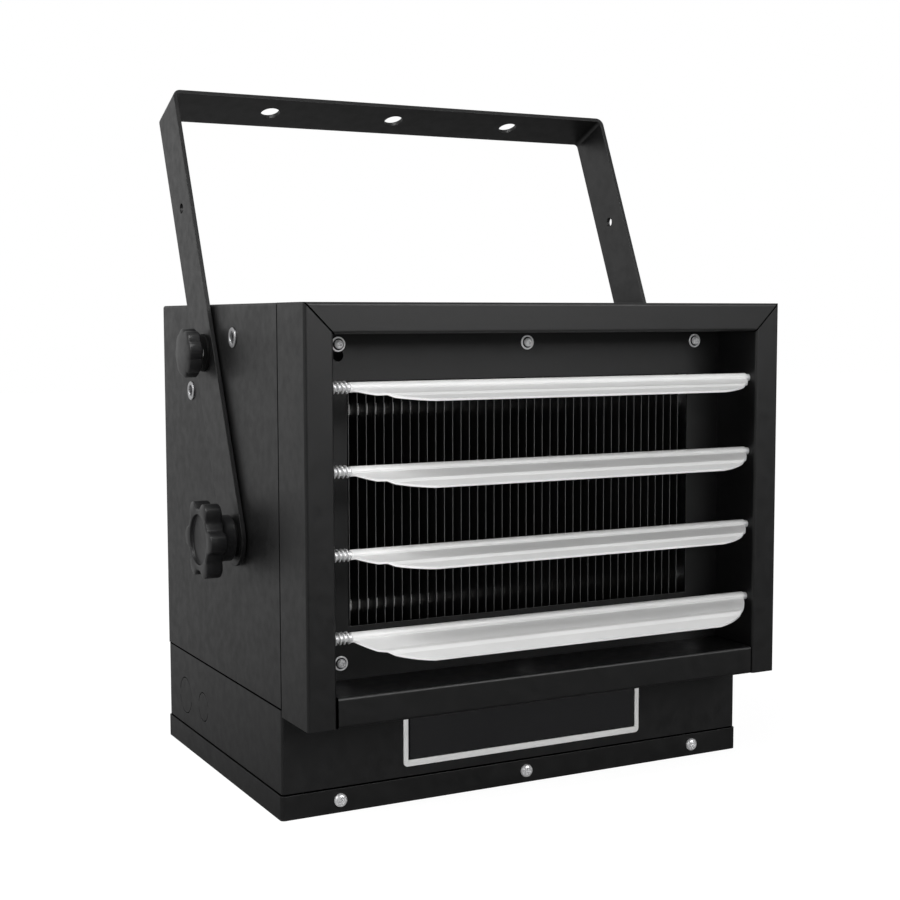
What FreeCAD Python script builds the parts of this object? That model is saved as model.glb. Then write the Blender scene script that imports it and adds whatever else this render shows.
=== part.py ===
import FreeCAD, Part
import math
import os
from FreeCAD import Vector

# A hanging fan heater: a folded steel case on a base box, four sprung louvres in
# front of a fin pack, and a U bracket that tilts on two clamp knobs.
# Millimetres. X runs to the right seen from the front, Y to the back, Z up.
# The origin is the centre of the bottom cover's underside.

# Case
case_width = 370.0
case_height = 340.0
cabinet_depth = 243.0
base_height = 74.4
sheet = 1.2
bend_radius = 2.0
flange_width = 12.0
front_flange_height = 40.0

# Fits and cuts
body_gap = 0.3
seam = 0.3
running_fit = 0.05
overrun = 5.0
fastener_sides = 10
hub_sides = 24
hex_sides = 6

# Bottom cover
tray_height = 16.4
tray_sheet = 1.0

# Front frame
frame_depth = 46.0
member_width = 20.0
frame_drop = 4.4
frame_seam = 0.5
mitre_gap = 0.9

# Outlet plate and its screws
outlet_side_margin = 48.0
outlet_margin = 51.3
plate_screw_margin = 6.0
plate_screw_inset = 27.0
plate_screw_radius = 2.4
plate_head_radius = 4.0
plate_washer_radius = 5.0
plate_washer_thickness = 0.9
keyhole_radius = 3.8
keyhole_drop = 7.4

# Screws of the bottom cover
base_screw_spacing = 144.0
base_screw_height = 8.6
base_screw_radius = 2.0
base_head_radius = 4.6
screw_head_height = 2.8
screw_length = 9.0

# Control panel on the base's front
border_width = 194.0
border_bottom = 24.2
border_top_gap = 8.2
border_line = 5.2
border_depth = 3.0
border_corner_radius = 5.0
window_depth = 1.4
window_rebate = 6.0

# Cable knockouts in the left wall of the base
large_knockout_radius = 14.1
small_knockout_radius = 11.1
large_knockout_inset = 40.4
small_knockout_inset = 82.3
knockout_height = 40.2
knockout_cut = 0.7
knockout_tab = 5.0

# Louvres, their rods and springs
louvre_margin = 34.9
louvre_lift = 1.3
louvre_setback = 9.2
louvre_chord = 36.0
louvre_wall = 1.5
bead_wall = 0.65
louvre_bend_radius = 3.0
louvre_left_gap = 13.7
louvre_right_gap = 3.1
louvre_end_run = 58.0
louvre_end_square = 2.0
louvre_tilts_deg = (14.0, 5.0, 8.0, 6.0)
louvre_fold_shares = ((0.0, -0.45), (0.5, -0.88), (0.62, -0.58), (0.71, -1.03), (1.0, -1.33))
rod_radius = 2.6
rod_tail = 2.5
spring_wire_radius = 0.65
spring_coil_radius = 3.6
spring_turns = 4
spring_wire_sides = 4

# Fin pack and heating rods
fin_pitch = 6.5
fin_thickness = 0.4
fin_depth = 34.0
fin_setback = 5.0
fin_overlap = 4.0
heater_rod_radius = 4.0
heater_rod_setback = 15.5
heater_rod_inset = 14.9
heater_rod_drop = 5.0
heater_tab_width = 6.3
heater_tab_length = 12.0
end_plate_gap = 3.5
end_plate_flange = 14.0
cutout_radius = 9.0
cutout_height = 8.0
cutout_ear_length = 32.0
cutout_ear_width = 8.0

# Air inlet in the rear panel
inlet_lap = 10.0
slot_length = 46.0
slot_height = 7.0
slot_pitch_x = 54.0
slot_pitch_z = 14.0

# Fan, motor and baffle
baffle_rim = 26.8
fan_tip_gap = 6.0
fan_blades = 5
fan_hub_radius = 22.0
fan_hub_length = 20.0
blade_thickness = 1.4
blade_chord = 80.0
blade_pitch_deg = 30.0
blade_root_lap = 5.0
blade_fold_shares = ((-0.5, 0.0), (-0.2, 0.085), (0.2, 0.085), (0.5, 0.0))
blade_outline_shares = ((-0.3, 0.0), (0.3, 0.0), (0.5, 0.62), (0.34, 0.97), (-0.34, 0.97), (-0.5, 0.62))
fan_back_gap = 5.0
motor_radius = 38.0
motor_length = 46.0
motor_sides = 8
motor_boss_radius = 13.0
motor_boss_length = 6.0
shaft_radius = 4.0
shaft_engagement = 12.0
nut_width = 13.0
nut_height = 6.0
motor_strap_width = 36.0
motor_strap_thickness = 2.0
motor_strap_foot = 16.0
motor_strap_rise = 18.0

# Electronics in the base
board_length = 130.0
board_width = 80.0
board_thickness = 1.6
board_drop = 10.0
board_setback = 110.0
standoff_radius = 3.0
relay_length = 29.0
relay_width = 12.0
relay_height = 16.0
terminal_length = 60.0
terminal_width = 24.0
terminal_height = 20.0
terminal_rib = 2.4
terminal_poles = 4
terminal_pocket = 9.0
terminal_side_gap = 26.0
ground_tab_length = 18.0
ground_tab_width = 10.0
ground_side_gap = 60.0

# Hanging bracket
leg_gap = 1.5
strap_width = 40.0
strap_thickness = 3.0
strap_bend_radius = 6.0
pivot_setback = 78.2
pivot_drop = 161.0
bracket_reach = 341.0
bracket_lean_deg = 23.5
hanger_hole_radius = 7.5
hanger_hole_spacing = 106.0
leg_hole_radius = 3.75
leg_hole_reach = 253.0
index_reach = 138.0
index_step_deg = 21.5

# Clamp knobs, studs, washers and threaded inserts
stud_radius = 4.0
insert_flange_radius = 7.0
insert_body_radius = 5.5
insert_length = 11.0
washer_radius = 13.5
washer_thickness = 1.5
upper_knob_radius = 17.5
upper_knob_length = 11.0
upper_knob_dome = 1.5
upper_knob_standoff = 4.0
upper_knob_flutes = 8
upper_flute_depth = 1.5
upper_flute_share = 0.2
upper_flute_steps = 5
lower_knob_radius = 28.5
lower_knob_length = 12.0
lower_knob_lobes = 6
lower_flute_depth = 7.0
lower_flute_share = 0.25
flute_steepness = 6
lower_flute_steps = 8
lower_hub_radius = 16.0
lower_hub_length = 11.0
lower_hub_flare = 5.0
lower_recess_radius = 17.5
lower_recess_depth = 2.5
lower_knob_edge = 1.2

# Planes and places that follow from the sizes above
half_width = case_width / 2
inside = half_width - sheet
front = -cabinet_depth / 2
rear = cabinet_depth / 2
face = front - frame_depth
plate_front = front - sheet
middle = (base_height + case_height) / 2
chamber_height = case_height - base_height
frame_bottom = base_height - frame_drop
opening_half = half_width - member_width
opening_top = case_height - member_width
opening_bottom = frame_bottom + member_width
shelf_top = base_height + sheet
border_height = base_height - border_bottom - border_top_gap
outlet_width = case_width - 2 * outlet_side_margin
outlet_height = chamber_height - 2 * outlet_margin
fan_radius = chamber_height / 2 - baffle_rim - fan_tip_gap
inlet_radius = fan_radius + inlet_lap
large_knockout_y = rear - large_knockout_inset
small_knockout_y = rear - small_knockout_inset
panel_inner = rear - sheet
strap_front = panel_inner - motor_strap_rise
motor_front = strap_front - motor_length
hub_back = motor_front - motor_boss_length - fan_back_gap
hub_middle = hub_back - fan_hub_length / 2
pivot_y = front + pivot_setback
pivot_height = case_height - pivot_drop
leg_inner = half_width + leg_gap
leg_outer = leg_inner + strap_thickness
lower_stud_depth = lower_hub_length + lower_knob_length / 2
bead_bore = rod_radius + running_fit
bead_radius = bead_bore + bead_wall
louvre_y = face + louvre_setback
fin_front = front + fin_setback
fin_count = int(outlet_width / fin_pitch)
louvre_count = len(louvre_tilts_deg)
louvre_spacing = (opening_top - opening_bottom - 2 * louvre_margin) / (louvre_count - 1)
plate_screw_spacing = outlet_width / 2 + plate_screw_margin
end_plate_x = outlet_width / 2 + end_plate_gap
across = Vector(1, 0, 0)
back = Vector(0, 1, 0)
up = Vector(0, 0, 1)


def block(low, high):
    return Part.makeBox(high[0] - low[0], high[1] - low[1], high[2] - low[2], Vector(*low))


def drill(radius, point, direction, length):
    start = point - direction * (length / 2)
    return Part.makeCylinder(radius, length, start, direction)


def joined(shapes):
    return shapes[0].multiFuse(shapes[1:]).removeSplitter()


def mirrored(shape):
    return shape.mirror(Vector(0, 0, 0), across)


def rim_points(sides, radius, start, direction):
    """Corners of a regular polygon about an axis."""
    first = across if direction.cross(up).Length == 0 else up
    second = direction.cross(first)
    turns = [2 * math.pi * i / sides for i in range(sides)]
    return [start + (first * math.cos(t) + second * math.sin(t)) * radius for t in turns]


def closed(points):
    return Part.makePolygon(points + points[:1])


def prism(sides, radius, start, direction, length):
    return Part.Face(closed(rim_points(sides, radius, start, direction))).extrude(direction * length)


def socket(radius, point, direction, length):
    """A many-sided hole, centred on point, whose flats clear a round of the given radius."""
    corner = radius / math.cos(math.pi / fastener_sides)
    return prism(fastener_sides, corner, point - direction * (length / 2), direction, length)


def frustum(lower, upper):
    """A solid with flat sides between two like polygons."""
    faces = [Part.Face(closed(lower)), Part.Face(closed(upper))]
    for i in range(len(lower)):
        faces.append(Part.Face(closed([lower[i - 1], lower[i], upper[i], upper[i - 1]])))
    return Part.makeSolid(Part.makeShell(faces))


def rounded_wire(points, radii):
    """A closed wire through points in one plane, each corner rounded to its radius."""
    corners = []
    for i, (point, radius) in enumerate(zip(points, radii)):
        to_last = (points[i - 1] - point).normalize()
        to_next = (points[(i + 1) % len(points)] - point).normalize()
        half_angle = to_last.getAngle(to_next) / 2
        reach = radius / math.tan(half_angle)
        bisector = (to_last + to_next).normalize()
        crown = point + bisector * (radius / math.sin(half_angle) - radius)
        corners.append((point + to_last * reach, crown, point + to_next * reach))
    edges = []
    for i, (begin, crown, end) in enumerate(corners):
        if radii[i] > 0:
            edges.append(Part.Arc(begin, crown, end).toShape())
        following = corners[(i + 1) % len(corners)][0]
        edges.append(Part.LineSegment(end, following).toShape())
    return Part.Wire(edges)


def folded(path, thickness, radius, place, run):
    """A bent sheet: path is one face in section, the sheet lies on its left, run is the length."""
    normals = []
    for (a0, b0), (a1, b1) in zip(path, path[1:]):
        length = math.hypot(a1 - a0, b1 - b0)
        normals.append(((b0 - b1) / length, (a1 - a0) / length))
    far_side = []
    path_radii = []
    far_radii = []
    for i, (a, b) in enumerate(path):
        (na, nb), (ma, mb) = normals[max(i - 1, 0)], normals[min(i, len(normals) - 1)]
        spread = thickness / (1 + na * ma + nb * mb)
        far_side.append((a + spread * (na + ma), b + spread * (nb + mb)))
        turn = na * mb - nb * ma
        ends = i in (0, len(path) - 1)
        path_radii.append(0 if ends else radius if turn > 0 else radius - thickness)
        far_radii.append(0 if ends else radius - thickness if turn > 0 else radius)
    points = [place(a, b) for a, b in path + far_side[::-1]]
    return Part.Face(rounded_wire(points, path_radii + far_radii[::-1])).extrude(run)


def rounded_block(low, high, radius):
    """An upright box whose vertical edges are rounded."""
    corners = [(low[0], low[1]), (high[0], low[1]), (high[0], high[1]), (low[0], high[1])]
    points = [Vector(x, y, low[2]) for x, y in corners]
    return Part.Face(rounded_wire(points, [radius] * len(points))).extrude(up * (high[2] - low[2]))


def rounded_panel(low, high, radius):
    """A flat upright panel facing the front, with rounded corners."""
    corners = [(low[0], low[2]), (high[0], low[2]), (high[0], high[2]), (low[0], high[2])]
    points = [Vector(x, low[1], z) for x, z in corners]
    return Part.Face(rounded_wire(points, [radius] * len(points))).extrude(back * (high[1] - low[1]))


def screw(point, direction, radius, head_radius, length):
    """A pan-head screw seated at point, its head towards direction."""
    rim = screw_head_height / 2
    shank = prism(fastener_sides, radius, point - direction * length, direction, length + rim)
    head = prism(fastener_sides, head_radius, point, direction, rim)
    shoulder = rim_points(fastener_sides, head_radius, point + direction * rim, direction)
    crown = rim_points(fastener_sides, head_radius / 2, point + direction * screw_head_height, direction)
    return joined([shank, head, frustum(shoulder, crown)])


def ring(point, direction, inner_radius, outer_radius, thickness):
    disc = prism(fastener_sides, outer_radius, point, direction, thickness)
    return disc.cut(socket(inner_radius, point, direction, overrun))


# Screw places on the front

def plate_screw_points(y):
    rows = (base_height + plate_screw_inset, case_height - plate_screw_inset)
    columns = (-plate_screw_spacing, 0, plate_screw_spacing)
    return [Vector(x, y, z) for z in rows for x in columns]


def keyhole():
    """Round hole just below the upper left plate screw, through the plate and the flange behind it."""
    z = case_height - plate_screw_inset - keyhole_drop
    start = Vector(-plate_screw_spacing, front - overrun, z)
    return prism(hub_sides, keyhole_radius, start, back, 2 * overrun)


def base_screw_points(y):
    return [Vector(x, y, base_screw_height) for x in (-base_screw_spacing, 0, base_screw_spacing)]


# Case: bottom cover, base box, shelf, wrap and rear panel

def bottom_cover():
    outer = half_width + tray_sheet
    front_out = front - tray_sheet
    rear_out = rear + tray_sheet
    shell = rounded_block((-outer, front_out, 0), (outer, rear_out, tray_height), bend_radius + tray_sheet)
    pocket_low = (-half_width, front, tray_sheet)
    pocket_high = (half_width, rear, tray_height + overrun)
    shell = shell.cut(rounded_block(pocket_low, pocket_high, bend_radius))
    for point in base_screw_points(front):
        shell = shell.cut(socket(base_screw_radius + running_fit, point, back, overrun))
    return shell


def knockout(radius, y):
    """The cut line round a cable knockout, broken by two tabs that hold the disc."""
    centre = Vector(-half_width, y, knockout_height)
    start = centre - across * (overrun / 2)
    line = prism(hub_sides, radius, start, across, overrun)
    line = line.cut(prism(hub_sides, radius - knockout_cut, start, across, overrun))
    reach = radius + overrun
    tabs = block(
        (centre.x - overrun, centre.y - reach, centre.z - knockout_tab / 2),
        (centre.x + overrun, centre.y + reach, centre.z + knockout_tab / 2),
    )
    return line.cut(tabs)


def base_box():
    outer = rounded_block((-half_width, front, tray_sheet), (half_width, rear, base_height), bend_radius)
    hollow_low = (-inside, front + sheet, tray_sheet - overrun)
    hollow_high = (inside, rear - sheet, base_height - sheet)
    outer = outer.cut(rounded_block(hollow_low, hollow_high, bend_radius - sheet))
    hatch_x = inside - flange_width
    hatch_y = rear - sheet - flange_width
    outer = outer.cut(block((-hatch_x, -hatch_y, 0), (hatch_x, hatch_y, base_height + overrun)))
    half_window = border_width / 2 - border_line - window_rebate
    window_low = border_bottom + border_line + window_rebate
    window_high = border_bottom + border_height - border_line - window_rebate
    cuts = [block((-half_window, front - overrun, window_low), (half_window, front + overrun, window_high))]
    cuts.append(knockout(large_knockout_radius, large_knockout_y))
    cuts.append(knockout(small_knockout_radius, small_knockout_y))
    for point in base_screw_points(front):
        cuts.append(socket(base_screw_radius + running_fit, point, back, overrun))
    return outer.cut(cuts)


def shelf():
    """Floor between the air chamber and the base, with upturned front and rear flanges."""
    inner_rear = rear - sheet
    path = [
        (front, base_height + front_flange_height),
        (front, base_height),
        (inner_rear, base_height),
        (inner_rear, base_height + flange_width),
    ]
    half = inside - flange_width - seam
    place = lambda a, b: Vector(-half, a, b)
    sheet_body = folded(path, sheet, bend_radius, place, across * (2 * half))
    rim_front = front + bend_radius
    rim_rear = inner_rear - bend_radius
    wide = inside - seam
    for side in (-1, 1):
        low = (min(side * half, side * wide), rim_front, base_height)
        high = (max(side * half, side * wide), rim_rear, shelf_top)
        sheet_body = sheet_body.fuse(block(low, high))
    sheet_body = sheet_body.removeSplitter()
    for point in plate_screw_points(front):
        sheet_body = sheet_body.cut(socket(plate_screw_radius + running_fit, point, back, overrun))
    return sheet_body


def insert_places():
    """Depth and height of the threaded inserts: three tilt stops and the pivot."""
    places = [(pivot_y, pivot_height)]
    for step in (-1, 0, 1):
        lean = math.radians(bracket_lean_deg + step * index_step_deg)
        places.append((pivot_y + index_reach * math.sin(lean), pivot_height + index_reach * math.cos(lean)))
    return places


def cabinet_wrap():
    skirt = base_height + seam
    path = [
        (half_width, skirt),
        (half_width, case_height),
        (-half_width, case_height),
        (-half_width, skirt),
    ]
    place = lambda a, b: Vector(a, front, b)
    wrap = folded(path, sheet, bend_radius, place, back * cabinet_depth)
    under = case_height - sheet
    foot = shelf_top + seam
    inner = inside - flange_width
    rear_y = panel_inner - sheet
    pieces = [wrap, block((-inside, front, under - front_flange_height), (inside, front + sheet, under))]
    pieces.append(block((-inside, rear_y, under - flange_width), (inside, panel_inner, under)))
    for side in (-1, 1):
        low_x = min(side * inner, side * inside)
        high_x = max(side * inner, side * inside)
        pieces.append(block((low_x, front, foot), (high_x, front + sheet, under)))
        pieces.append(block((low_x, rear_y, foot), (high_x, panel_inner, under)))
    wrap = joined(pieces)
    for point in plate_screw_points(front):
        wrap = wrap.cut(socket(plate_screw_radius + running_fit, point, back, overrun))
    for y, z in insert_places():
        for side in (-1, 1):
            point = Vector(side * half_width, y, z)
            wrap = wrap.cut(socket(insert_body_radius + running_fit, point, across, overrun))
    return wrap.cut(keyhole())


def rear_panel():
    """Rear panel with staggered rows of inlet slots kept inside a circle behind the fan."""
    half = inside - seam
    low_z = base_height + seam
    high_z = case_height - sheet - seam
    panel = block((-half, panel_inner, low_z), (half, rear, high_z))
    rows = int(inlet_radius / slot_pitch_z)
    slots = []
    for row in range(-rows, rows + 1):
        z = middle + row * slot_pitch_z
        reach_z = abs(row * slot_pitch_z) + slot_height / 2
        if reach_z >= inlet_radius:
            continue
        reach_x = math.sqrt(inlet_radius ** 2 - reach_z ** 2)
        columns = int((2 * reach_x + slot_pitch_x - slot_length) / slot_pitch_x)
        for column in range(columns):
            x = (column - (columns - 1) / 2) * slot_pitch_x
            low = (x - slot_length / 2, panel_inner - overrun, z - slot_height / 2)
            high = (x + slot_length / 2, rear + overrun, z + slot_height / 2)
            slots.append(block(low, high))
    return panel.cut(slots)


# Front: outlet plate, mitred frame members, lower rail and their screws

def outlet_plate():
    half = inside - seam
    low_z = frame_bottom + sheet + seam
    high_z = case_height - sheet - seam
    plate = block((-half, plate_front, low_z), (half, front, high_z))
    low = (-outlet_width / 2, plate_front - overrun, middle - outlet_height / 2)
    high = (outlet_width / 2, front + overrun, middle + outlet_height / 2)
    cuts = [block(low, high), keyhole()]
    for point in plate_screw_points(front):
        cuts.append(socket(plate_screw_radius + running_fit, point, back, overrun))
    return plate.cut(cuts)


def member_outline(corners):
    """A prism through the frame's depth, used to mitre its members."""
    points = [Vector(x, face - overrun, z) for x, z in corners]
    return Part.Face(closed(points)).extrude(back * (frame_depth + 2 * overrun))


def frame_top():
    path = [
        (front - frame_seam, case_height),
        (face, case_height),
        (face, opening_top),
        (plate_front, opening_top),
    ]
    place = lambda a, b: Vector(-half_width, a, b)
    member = folded(path, sheet, bend_radius, place, across * case_width)
    outer = half_width - mitre_gap
    inner = opening_half - mitre_gap
    mitre = [(-outer, case_height), (outer, case_height), (inner, opening_top), (-inner, opening_top)]
    return member.common(member_outline(mitre))


def louvre_heights():
    centre = (frame_bottom + case_height) / 2 + louvre_lift
    first = centre - louvre_spacing * (louvre_count - 1) / 2
    return [first + i * louvre_spacing for i in range(louvre_count)]


def frame_left():
    path = [
        (-half_width, front - frame_seam),
        (-half_width, face),
        (-opening_half, face),
        (-opening_half, plate_front),
    ]
    place = lambda a, b: Vector(a, b, frame_bottom)
    member = folded(path, sheet, bend_radius, place, up * (case_height - frame_bottom))
    mitre = [
        (-half_width, frame_bottom),
        (-half_width, case_height),
        (-opening_half, opening_top),
        (-opening_half, frame_bottom),
    ]
    member = member.common(member_outline(mitre))
    cap_low = (-half_width + sheet, face + sheet, frame_bottom)
    cap_high = (-opening_half - sheet, plate_front, frame_bottom + sheet)
    member = member.fuse(block(cap_low, cap_high)).removeSplitter()
    for z in louvre_heights():
        hole = socket(rod_radius + running_fit, Vector(-opening_half, louvre_y, z), across, overrun)
        member = member.cut(hole)
    return member


def lower_rail():
    path = [
        (plate_front, opening_bottom),
        (face, opening_bottom),
        (face, frame_bottom),
        (front, frame_bottom),
    ]
    half = opening_half - seam
    place = lambda a, b: Vector(-half, a, b)
    return folded(path, sheet, bend_radius, place, across * (2 * half))


def plate_screws():
    seat = plate_front - plate_washer_thickness
    return [
        screw(point, -back, plate_screw_radius, plate_head_radius, screw_length)
        for point in plate_screw_points(seat)
    ]


def plate_washers():
    return [
        ring(point, -back, plate_screw_radius + running_fit, plate_washer_radius, plate_washer_thickness)
        for point in plate_screw_points(plate_front)
    ]


def base_screws():
    return [
        screw(point, -back, base_screw_radius, base_head_radius, screw_length)
        for point in base_screw_points(front - tray_sheet)
    ]


# Control panel: border, window and the boards behind it

def panel_border():
    half = border_width / 2
    top = border_bottom + border_height
    outer_low = (-half, front - border_depth, border_bottom)
    outer = rounded_panel(outer_low, (half, front, top), border_corner_radius)
    low = (-half + border_line, front - border_depth - overrun, border_bottom + border_line)
    high = (half - border_line, front + overrun, top - border_line)
    return outer.cut(block(low, high))


def control_window():
    half = border_width / 2 - border_line
    low = (-half, front - window_depth, border_bottom + border_line)
    high = (half, front, border_bottom + border_height - border_line)
    return block(low, high)


def display_board():
    half = border_width / 2 - border_line
    seat = front + sheet
    low_z = border_bottom + border_line
    high_z = border_bottom + border_height - border_line
    return block((-half, seat, low_z), (half, seat + board_thickness, high_z))


def board_corners():
    inset = 2 * standoff_radius
    depth = board_width / 2 - inset
    centre_y = front + board_setback
    ends = (inset - board_length / 2, board_length / 2 - inset)
    return [(x, centre_y + y) for x in ends for y in (-depth, depth)]


def control_board():
    centre_y = front + board_setback
    top = base_height - board_drop
    low = (-board_length / 2, centre_y - board_width / 2, top - board_thickness)
    return block(low, (board_length / 2, centre_y + board_width / 2, top))


def board_standoffs():
    return [
        prism(hex_sides, standoff_radius, Vector(x, y, base_height - board_drop), up, board_drop)
        for x, y in board_corners()
    ]


def relays():
    under = base_height - board_drop - board_thickness
    centre_y = front + board_setback
    group = []
    for side in (-1, 0, 1):
        x = side * board_length / 3
        low = (x - relay_width / 2, centre_y - relay_length / 2, under - relay_height)
        group.append(block(low, (x + relay_width / 2, centre_y + relay_length / 2, under)))
    return group


def terminal_block():
    """Mains terminal block under the shelf, with open pockets between barrier ribs."""
    low_x = -inside + terminal_side_gap
    high_x = low_x + terminal_width
    start_y = (large_knockout_y + small_knockout_y - terminal_length) / 2
    under = base_height - terminal_height
    body = block((low_x, start_y, under), (high_x, start_y + terminal_length, base_height))
    pitch = (terminal_length - terminal_rib) / terminal_poles
    pockets = []
    for pole in range(terminal_poles):
        y = start_y + terminal_rib + pole * pitch
        low = (low_x - overrun, y, under - overrun)
        high = (high_x + overrun, y + pitch - terminal_rib, under + terminal_pocket)
        pockets.append(block(low, high))
    return body.cut(pockets)


def ground_tab():
    x = -inside + ground_side_gap
    y = small_knockout_y - terminal_length
    tip = y + ground_tab_length
    path = [(tip, base_height - ground_tab_width), (tip, base_height), (y, base_height)]
    place = lambda a, b: Vector(x, a, b)
    return folded(path, sheet, bend_radius, place, across * ground_tab_width)


# Heating element: fins, rods, end plates and thermal cut-out

def heater_rod_heights():
    half = outlet_height / 2 - heater_rod_inset
    return (middle - half - heater_rod_drop, middle + half - heater_rod_drop)


def heater_rod_y():
    return fin_front + heater_rod_setback


def fin(x):
    """One fin, slotted from the back so that it presses onto the rods."""
    low_z = middle - outlet_height / 2 - fin_overlap
    high_z = middle + outlet_height / 2 + fin_overlap
    half = fin_thickness / 2
    grip = heater_rod_radius + running_fit
    slots = [
        block(
            (x - overrun, heater_rod_y() - grip, z - grip),
            (x + overrun, fin_front + fin_depth + overrun, z + grip),
        )
        for z in heater_rod_heights()
    ]
    return block((x - half, fin_front, low_z), (x + half, fin_front + fin_depth, high_z)).cut(slots)


def fin_pack():
    middle_fin = (fin_count - 1) / 2
    first = fin(0)
    return [first.translated(across * ((i - middle_fin) * fin_pitch)) for i in range(fin_count)]


def heater_rods():
    """Sheathed rods through the fins, each with a flat terminal tab at both ends."""
    half = end_plate_x + sheet + heater_tab_length / 2
    reach = half + heater_tab_length
    wide = heater_tab_width / 2
    y = heater_rod_y()
    rods = []
    for z in heater_rod_heights():
        rod = Part.makeCylinder(heater_rod_radius, 2 * half, Vector(-half, y, z), across)
        for low, high in ((-reach, -half), (half, reach)):
            tab = block((low, y - wide, z - sheet / 2), (high, y + wide, z + sheet / 2))
            rod = rod.fuse(tab)
        rods.append(rod)
    return rods


def element_end_plates():
    """Angle plates that carry the rods and stand on the back of the outlet plate."""
    path = [
        (end_plate_x + end_plate_flange, front),
        (end_plate_x, front),
        (end_plate_x, fin_front + fin_depth),
    ]
    low_z = middle - outlet_height / 2 - fin_overlap
    place = lambda a, b: Vector(a, b, low_z)
    run = up * (outlet_height + 2 * fin_overlap)
    plate = folded(path[::-1], sheet, bend_radius, place, run)
    for z in heater_rod_heights():
        point = Vector(end_plate_x, heater_rod_y(), z)
        plate = plate.cut(socket(heater_rod_radius + running_fit, point, across, overrun))
    return [plate, mirrored(plate)]


def thermal_cutout():
    """Snap-disc thermal cut-out with two ears, on the left end plate."""
    seat = -end_plate_x - sheet
    ear = cutout_ear_length / 2
    y = heater_rod_y()
    low = (seat - sheet, y - cutout_ear_width / 2, middle - ear)
    ears = block(low, (seat, y + cutout_ear_width / 2, middle + ear))
    return ears.fuse(prism(hub_sides, cutout_radius, Vector(seat, y, middle), -across, cutout_height))


# Fan, motor, baffle and motor strap

def fan_baffle():
    """Cross wall round the fan that keeps the air from running back."""
    half = inside - seam
    low = (-half, hub_middle, shelf_top)
    wall = block(low, (half, hub_middle + sheet, case_height - sheet - seam))
    return wall.cut(drill(fan_radius + fan_tip_gap, Vector(0, hub_middle, middle), back, 2 * overrun))


def motor_strap():
    """Hat-shaped strap across the inlet that carries the motor from the rear panel."""
    leg = inlet_radius + motor_strap_foot
    foot = leg + motor_strap_foot
    seat = panel_inner - motor_strap_thickness
    path = [(-foot, seat), (-leg, seat), (-leg, strap_front), (leg, strap_front), (leg, seat), (foot, seat)]
    place = lambda a, b: Vector(a, b, middle - motor_strap_width / 2)
    radius = motor_strap_thickness + bend_radius
    return folded(path, motor_strap_thickness, radius, place, up * motor_strap_width)


def fan_motor():
    """Closed motor with a many-sided frame, a front boss and a bore for the shaft."""
    centre = Vector(0, motor_front, middle)
    boss_start = centre - back * motor_boss_length
    frame = prism(motor_sides, motor_radius, centre, back, motor_length)
    boss = prism(hub_sides, motor_boss_radius, boss_start, back, motor_boss_length)
    bore_length = 2 * (motor_boss_length + shaft_engagement)
    return joined([frame, boss]).cut(socket(shaft_radius + running_fit, boss_start, back, bore_length))


def fan_blade():
    """A pressed blade: a strip with two folds, set at one pitch, wide at the tip."""
    pitch = math.radians(blade_pitch_deg)
    along = Vector(math.cos(pitch), math.sin(pitch), 0)
    normal = Vector(-math.sin(pitch), math.cos(pitch), 0)
    root = fan_hub_radius - blade_root_lap
    reach = fan_radius - root
    centre = Vector(0, hub_middle, middle + root)
    near = [centre + (along * chord + normal * rise) * blade_chord for chord, rise in blade_fold_shares]
    far = [point + normal * blade_thickness for point in near]
    strip = Part.Face(closed(near + far[::-1])).extrude(up * reach)
    wide = blade_chord * math.cos(pitch)
    outline = [
        Vector(x * wide, -cabinet_depth, middle + root + z * reach) for x, z in blade_outline_shares
    ]
    return strip.common(Part.Face(closed(outline)).extrude(back * (2 * cabinet_depth)))


def fan():
    """Fan: a hub on the shaft with pressed blades."""
    blade = fan_blade()
    centre = Vector(0, hub_back, middle)
    pieces = [prism(hub_sides, fan_hub_radius, centre, -back, fan_hub_length)]
    for i in range(fan_blades):
        copy = blade.copy()
        copy.rotate(centre, back, i * 360 / fan_blades)
        pieces.append(copy)
    return joined(pieces).cut(socket(shaft_radius + running_fit, centre, back, fan_hub_length * 4))


def motor_shaft():
    end = motor_front + shaft_engagement - body_gap
    tip = hub_back - fan_hub_length - nut_height
    return prism(fastener_sides, shaft_radius, Vector(0, tip, middle), back, end - tip)


def fan_nut():
    seat = Vector(0, hub_back - fan_hub_length, middle)
    body = prism(hex_sides, nut_width / math.sqrt(3), seat, -back, nut_height)
    return body.cut(socket(shaft_radius + running_fit, seat, back, nut_height * 4))


# Louvres: extruded blades on pivot rods, held by friction springs

def louvre_blade():
    """The blade level, its rod axis at the origin: a hollow bead, a web, a low ridge and a lip."""
    path = [(chord * louvre_chord, rise * bead_radius) for chord, rise in louvre_fold_shares]
    left = -opening_half + louvre_left_gap
    right = opening_half - louvre_right_gap
    place = lambda a, b: Vector(left, -a, b)
    run = across * (right - left)
    web = folded(path, louvre_wall, louvre_bend_radius, place, run)
    bead = Part.makeCylinder(bead_radius, right - left, Vector(left, 0, 0), across)
    blade = joined([bead, web]).common(louvre_plan(left, right))
    return blade.cut(socket(bead_bore, Vector(0, 0, 0), across, case_width))


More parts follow.
